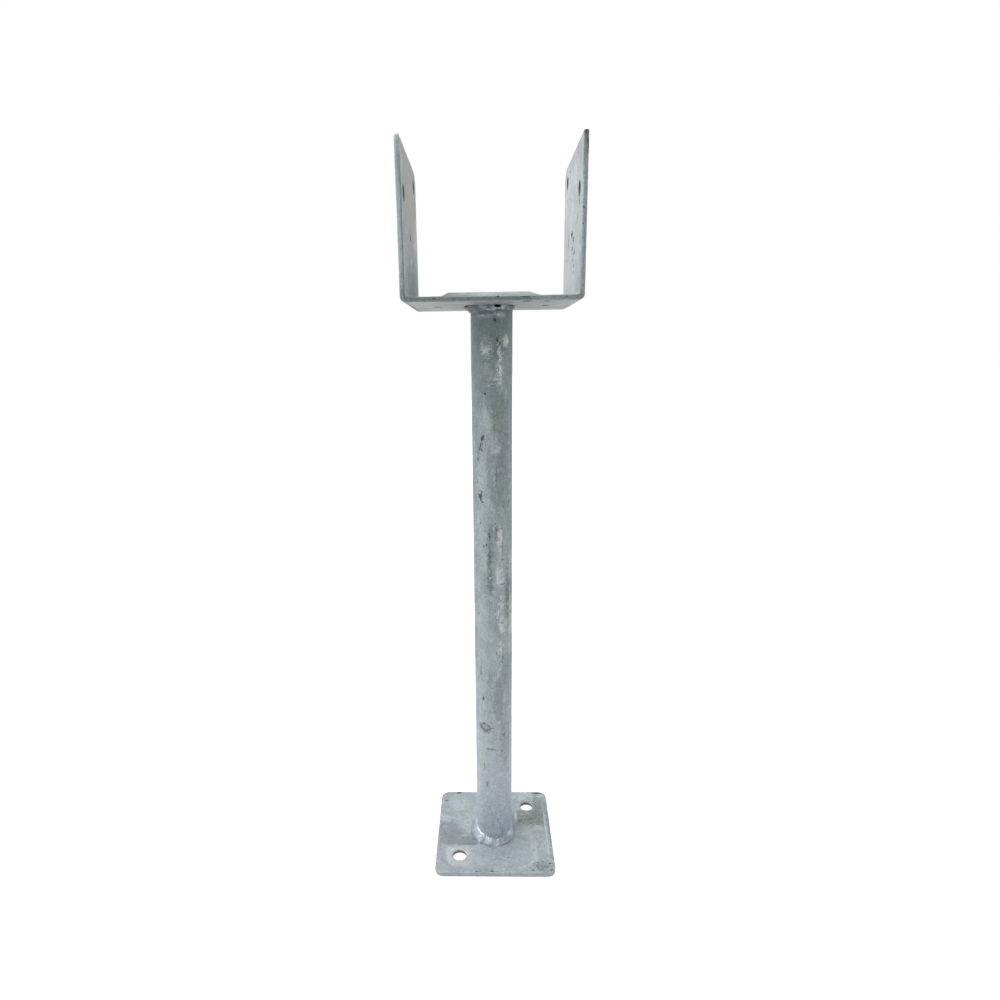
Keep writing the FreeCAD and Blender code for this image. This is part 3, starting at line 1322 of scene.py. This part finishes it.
# -------------------------------------------------------------------- stage


@dataclass(frozen=True)
class Studio:
    """Plain pale floor, soft lamps and the camera.

    Attributes:
        focal: Focal length, in image sides.
        centre: The lens's axis in the image, as shares of its side from the left and top.
        eye: The camera's place, in mm.
        turn: The camera's turn about Z, its tilt up and its roll, in degrees.
        aim: What the lamps point at, in metres.
        bright: Where the room is brightest: left, behind and a little above.
    """

    focal: float = 0.63348
    centre: tuple[float, float] = (0.4715, 0.50735)
    eye: Triple = (-5.2, -531.3, 455.9)
    turn: Triple = (1.4, -13.47, 0.8)
    aim: Triple = (0.0, 0.0, 0.35)
    bright: Triple = (-0.60, 0.74, 0.30)

    def camera(self) -> None:
        """Place the camera and make it the scene's own."""
        data = bpy.data.cameras.new("camera")
        data.sensor_width = SENSOR_MM
        data.lens = self.focal * SENSOR_MM
        data.shift_x = 0.5 - self.centre[0]
        data.shift_y = self.centre[1] - 0.5
        data.clip_start = 0.01
        camera = bpy.data.objects.new("camera", data)
        bpy.context.collection.objects.link(camera)
        yaw, tilt, roll = (math.radians(angle) for angle in self.turn)
        camera.matrix_world = (
            Matrix.Translation(Vector(self.eye) * MM) @ Matrix.Rotation(yaw, 4, "Z")
            @ Matrix.Rotation(tilt + math.pi / 2, 4, "X") @ Matrix.Rotation(-roll, 4, "Z"))
        bpy.context.scene.camera = camera

    def lamp(self, name: str, place: Triple, size: float, power: float) -> None:
        """Add a square soft lamp.

        Args:
            name: The lamp's name.
            place: Where it stands, in metres.
            size: Its side, in metres.
            power: Its power, in watts.
        """
        data = bpy.data.lights.new(name, "AREA")
        data.shape = "SQUARE"
        data.size = size
        data.energy = power
        lamp = bpy.data.objects.new(name, data)
        bpy.context.collection.objects.link(lamp)
        lamp.location = place
        lamp.rotation_euler = (Vector(self.aim) - Vector(place)).to_track_quat("-Z", "Y").to_euler()

    def world(self) -> None:
        """Surround the base with a room that is brightest behind it on the left."""
        world = bpy.data.worlds.new("studio")
        bpy.context.scene.world = world
        tree = bare_tree(world)
        direct = add_node(tree, "LightPath", output="Is Camera Ray")
        way = add_node(tree, "TexCoord", output="Generated")
        toward = add_node(tree, "VectorMath", {0: way, 1: self.bright}, "Value", operation="DOT_PRODUCT")
        # The room as the metal mirrors it, against plain white where it is seen directly.
        room = add_node(tree, "MapRange", {
            "Value": toward, "From Min": -1.0, "From Max": 1.0, "To Min": 0.33, "To Max": 1.10})
        seen = add_node(tree, "Mix", {0: direct, 2: room, 3: 1.0}, data_type="FLOAT")
        light = add_node(tree, "Background", {"Color": WHITE, "Strength": seen})
        add_node(tree, "OutputWorld", {"Surface": light})

    def floor(self) -> None:
        """Add the floor: matt pale paint with a glow that makes it white, under a soft shadow."""
        deselect()
        bpy.ops.mesh.primitive_plane_add(size=FLOOR_M)
        floor = start_piece("floor")
        made = bpy.data.materials.new("pale floor")
        tree = bare_tree(made)
        direct = add_node(tree, "LightPath", output="Is Camera Ray")
        mirrored = add_node(tree, "LightPath", output="Is Glossy Ray")
        # It glows fully to the eye, a little in what the metal mirrors and not at all as a lamp.
        shiny = add_node(tree, "Math", {0: mirrored, 1: 0.12}, operation="MULTIPLY")
        lift = add_node(tree, "Math", {0: direct, 1: 0.75, 2: shiny}, operation="MULTIPLY_ADD")
        matt = add_node(tree, "BsdfDiffuse", {"Color": colour("d8d8d8")})
        glow = add_node(tree, "Emission", {"Color": WHITE, "Strength": lift})
        both = add_node(tree, "AddShader", {0: matt, 1: glow})
        add_node(tree, "OutputMaterial", {"Surface": both})
        floor.data.materials.append(made)

    def build(self) -> None:
        """Set up the camera, the room and the floor, a lamp high on the left and a fill on the right."""
        bpy.context.scene.view_settings.view_transform = "Standard"
        self.camera()
        self.lamp("key", (-0.95, 0.1, 2.0), 0.8, 18.0)
        self.lamp("fill", (1.5, 0.2, 1.2), 1.2, 4.0)
        self.world()
        self.floor()


# ----------------------------------------------------------------- finishes


STEM = StemTube()

# Thick zinc that ran down the stem while it drained: long pale clouds, bright scabs with painted highlights
# and dull runs, which tell the eye that the tube was dipped and hung upright, and painted shade at its top.
TUBE_ZINC = Zinc(
    "galvanised tube", low="95a1a3", middle="a4b1b3", high="b5c0c2", violet="949ca7", cloud=15.0,
    stretch=2.6, frost=0.8, crisp=1.5,
    stains_and_painted_light=(
        # Painted shade of the saddle over the top of the stem, partly a darker zinc tone.
        *colour_patches(Tone.DEEP, marks_at((0, 0, 504, 90, 90, 98, 0.56, 0.6)), 0.1),
        *colour_patches(Tone.LILAC, marks_at((0, 0, 40, 90, 90, 160, 0.7, 0.8),
            (0, 0, 6, 90, 90, 36, 0.45, 0.8)), 0.1),
        *colour_patches(Tone.PLUM, tube_marks((3.7, 154, 5.5, 26, 0.45, 0.3), (-6, 30, 9, 24, 0.15, 0.5)),
            0.15),
        *colour_patches(Tone.DULL, tube_marks((6, 397, 9, 34, 0.6, 0.2), (9, 350, 8, 22, 0.5, 0.2),
            (-1.5, 285, 4.5, 40, 0.45, 0.4), (10, 110, 6, 40, 0.35, 0.4), (14, 444, 5, 44, 0.5, 0.5)),
            0.3),
        *colour_patches(Tone.PALE, tube_marks((-8, 330, 6, 62, 0.6, 0.25), (-10, 200, 6, 60, 0.6, 0.25),
            (-9, 95, 7, 45, 0.7, 0.25), (2, 385, 5, 10, 0.7, 0.3), (-6, 397, 8, 18, 0.4, 0.3),
            (3, 60, 6, 30, 0.6, 0.3), (4, 270, 9, 54, 0.35, 0.4), (0, 202, 7, 24, 0.6, 0.3),
            (-10, 26, 5, 14, 0.6, 0.4)), 0.3),
        *colour_patches(Tone.DEEP, tube_marks((-2.6, 278, 3.0, 42, 0.5, 0.8), (4.5, 463, 1.5, 8, 0.8),
            (12, 255, 2.0, 40, 0.5, 0.8)), 0.6, True),
        *colour_patches(Tone.FROST, STEM.lumps, 1.0, True),
        # Painted highlights on the pale scabs, partly pale zinc.
        *colour_patches(Tone.BRIGHT, tube_marks((6.0, 302, 3.0, 19, 0.8, 0.7), (5.8, 272, 5.0, 13, 0.7, 0.7),
            (7.2, 226, 4.2, 10, 0.9, 0.6), (6.6, 248, 2.8, 9, 0.8, 0.7), (4.2, 235, 2.6, 5, 0.9, 0.7),
            (6.2, 451, 1.8, 16, 0.25, 0.7), (7.2, 204, 1.6, 12, 0.8, 0.6),
            (2.5, 437, 4.5, 1.6, 0.7, 0.7)), 0.35, True),
        # Painted glints on the scabs.
        *colour_patches(Tone.GLINT, tube_marks((6.0, 304, 2.0, 17, 1.0, 0.9), (5.0, 276, 3.2, 6, 0.9, 0.9),
            (7.4, 228, 3.2, 9, 1.0, 0.8), (6.6, 250, 1.6, 7, 1.0, 0.9), (7.0, 206, 1.0, 8, 0.9, 0.8)),
            0.45, True),
        # Bright crystals with painted glints on them, broken up, on the upper stem.
        *colour_patches(Tone.GLINT, tube_marks((6.0, 451, 2.2, 15, 0.75, 0.5), (-4.5, 462, 5, 9, 0.22, 0.5),
            (-5, 446, 4, 6, 0.25, 0.5), (3.0, 380, 3.4, 4, 0.3, 0.5)), 1.5, True),
        # Painted glints along the crinkles of the scabs.
        *colour_patches(Tone.GLINT, tube_marks((5.6, 266.6, 4.4, 0.9, 1.0, 0.8),
            (7.4, 273.6, 3.6, 0.7, 0.9, 0.8), (3.6, 270, 0.8, 4.0, 0.9, 0.8),
            (8.6, 269, 0.7, 3.4, 0.7, 0.8), (3.4, 233, 1.3, 1.3, 1.0, 0.6),
            (4.6, 238, 0.8, 4.0, 1.0, 0.7), (-2.6, 270, 2.0, 0.8, 0.8, 0.8),
            (-3.4, 276, 0.8, 2.0, 0.7, 0.8)), 0.35, True, False),
        *colour_patches(Tone.SCRATCH, tube_marks((8.2, 264.2, 4.6, 0.6, 0.8, 0.7),
            (7.6, 270.8, 3.4, 0.5, 0.7, 0.7), (8.4, 286, 3.6, 0.6, 0.6, 0.7),
            (5.2, 243, 0.6, 3.0, 0.6, 0.7), (1.6, 240, 0.6, 6.0, 0.4, 0.8)), 0.3, True, False),
        *colour_patches(Tone.CREAM, tube_marks((10.6, 467.2, 3.1, 5.6, 0.9, 0.3), (15.2, 280, 3, 12, 0.6, 0.5),
            (14.8, 236, 3, 22, 0.6, 0.5), (8.8, 228, 3, 4, 0.5, 0.5)), 0.55, True),
        *colour_patches(Tone.SCRATCH, tube_marks((-8.8, 124.3, 7, 5.4, 0.75, 0.3)), 0.4, True),
        *colour_patches(Tone.PALE, tube_marks((-8.6, 124.6, 3.8, 2.6, 0.8, 0.4),
            (-10, 340, 0.8, 2.4, 0.8, 0.5)), 0.5, True),
        *colour_patches(Tone.DROSS, tube_marks((2.4, 483, 1.5, 1.7, 0.85, 0.4),
            (4.4, 467.8, 1.3, 2.4, 0.9, 0.5), (6.3, 465.2, 1.1, 1.0, 0.7, 0.5),
            (-5.6, 426, 1.1, 1.2, 0.9, 0.5)), 0.3, True, False),
        *colour_patches(Tone.DROSS, tube_marks((-7.4, 389, 1.5, 5.0, 0.9, 0.5), (-9.2, 382, 1.5, 4.0, 0.9, 0.5),
            (-9.8, 341, 2.0, 6.0, 0.9, 0.5), (-3.4, 308, 1.0, 3.8, 0.8, 0.6),
            (-6.0, 300, 1.6, 1.6, 0.8, 0.6), (-8.2, 298, 1.4, 1.4, 0.8, 0.6),
            (2.6, 310, 1.2, 9, 0.5, 0.6), (-1.8, 262, 1.3, 10, 0.3, 0.6), (-3.0, 290, 1.3, 9, 0.3, 0.6),
            (-12, 372, 0.8, 3, 0.6, 0.6), (-13, 355, 0.8, 6, 0.5, 0.6), (-11, 318, 0.8, 2, 0.7, 0.6),
            (-12.5, 236, 0.8, 2.4, 0.7, 0.6), (3.0, 199, 0.8, 2.8, 0.8, 0.6),
            (8.2, 192, 0.8, 7, 0.5, 0.6), (-11.5, 182, 0.8, 6, 0.7, 0.6),
            (-9.9, 153.6, 1.0, 3.4, 0.9, 0.5), (7.5, 101, 1.4, 1.4, 0.8, 0.6),
            (-3, 103, 6, 1.3, 0.5, 0.8), (9.5, 118, 1.2, 3, 0.6, 0.6), (-9, 84, 0.9, 7, 0.6, 0.7),
            (-7, 66, 1.2, 6, 0.6, 0.7), (13, 334, 1, 5, 0.4, 0.7)), 0.6, True),
        *colour_patches(Tone.SCRATCH, tube_marks((-0.4, 44, 0.5, 6, 0.45, 0.8), (1.2, 36, 0.5, 6, 0.5, 0.8),
            (3.1, 28.6, 0.5, 5.4, 0.55, 0.8), (5.2, 21, 0.6, 5.4, 0.6, 0.8), (7.1, 14, 0.6, 5, 0.6, 0.8),
            (1.4, 400, 0.6, 24, 0.6, 0.8), (3.0, 360, 0.6, 16, 0.45, 0.8)), 0.2, True, False),
    ))
# Zinc that froze flat on the foot plate: soft pools of unlike grey with drip specks,
# and light sheared edges, which give the eye a heavy plate that lay level.
PLATE_ZINC = Zinc(
    "galvanised foot plate", low="97a3a7", middle="a6b0b4", high="b5bdc1", edge="b4bec3",
    stains_and_painted_light=(
        *colour_patches(Tone.FROST, face_marks(Face.FOOT_TOP, 6, (10, -31, 31, 22, 0.4, 0.1)), 0.12, False,
            False),
        *colour_patches(Tone.SLATE, face_marks(Face.FOOT_TOP, 6, (8.6, -31, 30, 20.8, 0.8, 0.12)), 0.12, False,
            False),
        *colour_patches(Tone.SLATE, face_marks(Face.FOOT_TOP, 6, (-26, 30, 32, 26, 0.5, 0.4)), 0.15),
        *colour_patches(Tone.PALE, face_marks(Face.FOOT_TOP, 6, (-36, 36, 12, 10, 0.4, 0.4),
            (-5, -42, 26, 12, 0.3, 0.4)), 0.15),
        *colour_patches(Tone.PLUM, face_marks(Face.FOOT_TOP, 6, (-44, -4, 16, 20, 0.75, 0.4),
            (-28, -17, 16, 7, 0.7, 0.3)), 0.2),
        *colour_patches(Tone.OLIVE, face_marks(Face.FOOT_TOP, 6, (32, 16, 20, 15, 0.78, 0.4),
            (46, 28, 9, 26, 0.8, 0.5), (-40, 22, 14, 5, 0.4, 0.5)), 0.35),
        *colour_patches(Tone.SCRATCH, face_marks(Face.FOOT_TOP, 6, (30, 14, 20, 11, 0.55, 0.9),
            (44, 26, 7, 20, 0.45, 0.9), (43, -46, 12, 8, 0.4, 0.8)), 1.0, True),
        *colour_patches(Tone.SCRATCH, face_marks(Face.FOOT_TOP, 6, (53.6, 0, 2.4, 54, 0.35, 0.9)), 1.0, True,
            False),
        *colour_patches(Tone.HALO, face_marks(Face.FOOT_TOP, 6, (-33, -34, 15, 15, 0.75, 0.25)), 0.1),
        *colour_patches(Tone.BRIGHT, face_marks(Face.FOOT_TOP, 6, (50.2, -4, 1.0, 50, 0.5, 0.7),
            (21.5, 18, 2.0, 12, 0.5, 0.8)), 0.7, True, False),
        # Painted shade inside the two anchor holes.
        *colour_patches(Tone.DROSS, marks_at((-33, -33, 1.2, 8, 8, 2.6, 0.65, 0.2),
            (33, 33, 1.2, 8, 8, 2.6, 0.85, 0.2)), 0.05, True, False),
        *colour_patches(Tone.DROSS, face_marks(Face.FOOT_TOP, 3, (-49.6, 40.5, 1.4, 1.4, 0.9, 0.5),
            (-37, 53, 4, 2, 0.9, 0.5), (44.7, 52.5, 5, 2, 0.9, 0.5), (-22, -19.6, 12, 0.8, 0.6, 0.7),
            (12, -36, 1.0, 1.0, 0.9, 0.5), (39, -42, 3.0, 0.8, 0.8, 0.6), (44, -41, 2.4, 0.8, 0.8, 0.6),
            (42, -46, 2.6, 0.9, 0.8, 0.6), (47, -47, 2.4, 1.0, 0.9, 0.6), (50, -43, 1.6, 1.4, 0.9, 0.6),
            (50.4, -50.6, 2.2, 1.2, 0.9, 0.6), (34, -51, 2.4, 1.0, 0.8, 0.6),
            (-16.5, -53, 2.6, 1.0, 0.7, 0.6), (-3, -52.4, 2.2, 1.2, 0.8, 0.6)), 0.5, True, False),
    ))
# Zinc on the folded strip: clouded walls with painted shade in the bolt holes and dark drips below them,
# painted light on the right wall and painted shade low on the left, dull cut edges with painted highlights
# on their rims and a streaked underside, which give the eye thin sheet that was cut and bent.
SADDLE_ZINC = Zinc(
    "galvanised folded strip", low="a2abaa", middle="b1b8b8", high="c2c7c6", edge="85918f", frost=0.5,
    crisp=1.5,
    stains_and_painted_light=(
        *colour_patches(Tone.OLIVE, face_marks(Face.UNDER, 3, (0, 0, 64, 54, 0.45, 0.5)), 0.15),
        *colour_patches(Tone.PALE, face_marks(Face.FRONT, 4, (-66, 560, 5, 72, 0.85, 0.4),
            (66, 545, 5, 62, 0.75, 0.4), (46, 496, 20, 4, 0.6, 0.6)), 0.1),
        # Painted light over the right wall's inner face.
        *colour_patches(Tone.FROST, face_marks(Face.RIGHT_WALL, 3, (0, 550, 70, 70, 0.42, 0.4)), 0.15),
        *colour_patches(Tone.WARM, face_marks(Face.LEFT_WALL, 3, (0, 590, 70, 60, 0.65, 0.5)), 0.15),
        # Painted shade low on the left wall's inner face, darker towards the floor.
        *colour_patches(Tone.DEEP, face_marks(Face.LEFT_WALL, 3, (10, 496, 74, 62, 0.95, 0.9)), 0.15),
        *colour_patches(Tone.DEEP, face_marks(Face.FRONT, 3, (-63.2, 548, 0.9, 62, 0.85, 0.6),
            (0, 495.4, 60, 1.1, 0.4, 0.7)), 0.25, True, False),
        # Painted highlights along the rims of the front edges.
        *colour_patches(Tone.FROST, face_marks(Face.RIGHT_WALL, 0.6, (-52, 545, 3, 62, 0.6, 0.6)) +
            face_marks(Face.FRONT, 3, (0, 497.7, 66, 0.7, 0.55, 0.6), (-66.6, 548, 0.7, 56, 0.6, 0.7)),
            0.4, True, False),
        *colour_patches(Tone.BRIGHT, face_marks(Face.FRONT, 3, (-65, 548, 2.4, 60, 0.45, 0.9),
            (65, 548, 2, 58, 0.15, 0.9)), 1.4, True, False),
        *colour_patches(Tone.DROSS, face_marks(Face.RIGHT_WALL, 2, (1, 547, 5, 2.6, 0.9, 0.5),
            (-8, 541, 5, 3.2, 0.9, 0.5), (-4, 536, 5, 2.2, 0.9, 0.5), (-15, 531, 5, 2.6, 0.9, 0.5),
            (-8, 527, 4, 1.8, 0.9, 0.5), (-14, 522, 4, 2.2, 0.8, 0.5), (-12, 517, 4, 1.6, 0.7, 0.5),
            (20, 545, 3, 6, 0.6, 0.5), (-37, 563, 3, 6.0, 0.8, 0.5), (-27.6, 553, 3, 5.0, 0.9, 0.5),
            (-45, 536, 3, 4.0, 0.7, 0.5), (42, 565, 3, 1.0, 0.8, 0.5), (9, 573.5, 3, 1.2, 0.9, 0.5),
            (-30, 594, 3, 1.0, 0.7, 0.5), (19, 596, 3, 1.0, 0.8, 0.5), (48, 585, 3, 1.0, 0.8, 0.5),
            (-12, 578, 3, 1.2, 0.7, 0.5), (34, 531, 3, 1.2, 0.7, 0.5), (-38, 521, 3, 1.2, 0.6, 0.5)),
            0.35, True),
        # Painted shade inside the bolt holes, and dark drips below two holes of the right wall.
        *colour_patches(Tone.INK, marks_at((65, -35, 571, 2.7, 9, 9, 0.75, 0.2),
            (65, 35, 591, 2.7, 9, 9, 0.65, 0.2), (-65, -35, 571, 2.7, 9, 9, 0.7, 0.2),
            (-65, 35, 591, 2.7, 9, 9, 0.6, 0.2)) + face_marks(Face.RIGHT_WALL, 1.6,
            (-35, 564.5, 2.2, 3.0, 0.8, 0.6), (35, 584.5, 2.2, 2.4, 0.5, 0.6)), 0.05, True, False),
        *colour_patches(Tone.DROSS, face_marks(Face.FRONT, 2, (64.3, 555.5, 0.9, 1.5, 0.9, 0.6),
            (64, 545, 0.7, 1.2, 0.8, 0.6), (64, 535.5, 0.7, 1.3, 0.7, 0.6), (4, 497, 1.3, 0.9, 1.0, 0.5),
            (54, 496.2, 1.6, 0.9, 0.7, 0.6), (24, 496.6, 3.4, 0.7, 0.7, 0.5),
            (-42, 496.4, 2.6, 0.8, 0.6, 0.5)) + face_marks(Face.UNDER, 1.5,
            (25.5, -44, 4.6, 7, 1.0, 0.5), (40.6, -43, 3.0, 6, 1.0, 0.5), (43, 0, 4.2, 4.6, 0.8, 0.4),
            (-43, 0, 4.2, 4.6, 0.5, 0.4)), 0.35, True, False),
        *colour_patches(Tone.PLUM, face_marks(Face.FRONT, 2, (65.6, 545, 2.2, 60, 0.32, 0.5),
            (48, 496, 20, 2.6, 0.35, 0.5)), 0.2, True, False),
        *colour_patches(Tone.RUST, face_marks(Face.FRONT, 3, (65.5, 601, 4, 9, 0.75, 0.6)), 0.5, True),
        *colour_patches(Tone.DROSS, face_marks(Face.FRONT, 2, (66.4, 594, 1.0, 7, 0.9, 0.6),
            (64.6, 603, 0.9, 1.6, 0.8, 0.6)), 0.5, True, False),
        *colour_patches(Tone.BRIGHT, face_marks(Face.FRONT, 4, (-65, 604, 4, 4.5, 0.9, 0.4)), 0.2, True),
    ))
# Painted light on the pad and its bead: the palest grey with few clouds, which gives
# the eye a small raised seat that caught the most light.
PAD_ZINC_PAINTED_LIGHT = Zinc(
    "galvanised seat pad with painted light", low="b7c0c3", middle="c3cacd", high="cdd3d5")
# Zinc over weld metal at the foot: small clouds and a smoother skin, so that each
# ripple catches a light of its own.
WELD_ZINC = Zinc(
    "galvanised weld bead", low="a6b1bc", middle="b5bfc9", high="c9d1d9", cloud=6.0,
    roughness=(0.3, 0.5), metallic=0.6, relief=0.7,
    stains_and_painted_light=(
        # Painted highlights on the front of the bead.
        *colour_patches(Tone.BRIGHT, marks_at((-7.6, -19, 7, 5, 5, 3, 0.5, 0.6),
            (-14, -14, 9, 4, 4, 4, 0.2, 0.6), (2.5, -21, 5, 3, 4, 1.6, 0.7, 0.6),
            (9, -19, 6, 6, 5, 1.2, 0.5, 0.6)), 0.3, True),
    ))
# Zinc over the bead under the saddle, painted dark as the saddle's shade, dull and with a few painted
# glints, so that the bead reads as deep shade below the bright pad.
WELD_SHADED_ZINC = Zinc(
    "galvanised weld in painted shade under the saddle", low="55605f", middle="616e70", high="768386", cloud=6.0,
    roughness=(0.32, 0.55), relief=0.7,
    stains_and_painted_light=(
        # Painted glints.
        *colour_patches(Tone.BRIGHT, tube_marks((-1, 490.5, 6, 2, 0.35, 0.8), (8, 492, 2, 3, 0.45, 0.8),
            (12.5, 490, 2, 3, 0.4, 0.8)), 0.8, True),
        *colour_patches(Tone.DROSS, marks_at((-18, -9, 493, 3, 4, 2, 0.9, 0.6)), 0.4, True),
    ))


def main() -> None:
    """Build the pieces in order and the studio round them."""
    logging.basicConfig(level=logging.INFO, format="%(message)s")
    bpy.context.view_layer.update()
    settle(STEM.build(), Slot.TUBE, TUBE_ZINC, "stem_tube")
    settle(FootPlate().build(), Slot.PLATE, PLATE_ZINC, "foot_plate")
    settle(Saddle().build(), Slot.PLATE, SADDLE_ZINC, "saddle")
    pad = SeatPad()
    # The pad and its bead get the pale finish that paints light on them.
    settle(pad.build_pad(), Slot.PLATE, PAD_ZINC_PAINTED_LIGHT, "seat_pad")
    settle(pad.build_bead(), Slot.WELD, PAD_ZINC_PAINTED_LIGHT, "seat_pad_weld")
    foot_bead = RoundBead("foot_weld", 1, (
        WeldPass(182, 4, (0.9, 1.1, 1.15, 1.0, 0.85, 0.5), (0.9, 0.7, 0.5, 0.6, 0.85, 1.0)),
        WeldPass(-178, 1, (0.9, 1.2, 1.4, 1.2, 0.9, 0.55), (0.9, 1.0, 1.15, 1.15, 1.1, 1.0))),
        lean=(-1.4, 0.0), tilt=(8.0, 0.0))
    settle(foot_bead.build(), Slot.WELD, WELD_ZINC, "foot_weld")
    saddle_bead = RoundBead("saddle_weld", -1, (
        WeldPass(30, 360, (0.8, 0.6, 0.8, 1.1, 0.9), (0.6, 0.4, 0.8, 1.0, 0.8)),),
        lean=(-1.6, 0.0), tilt=(0.0, -5.0), crown=0.6, lump=0.16, softness=3,
        grain=Grain(0.3, 2.6, level=0.5), seed=11, vented=True)
    # The bead under the saddle gets the finish painted with its shade.
    settle(saddle_bead.build(), Slot.WELD, WELD_SHADED_ZINC, "saddle_weld")
    Studio().build()


if __name__ == "__main__":
    main()
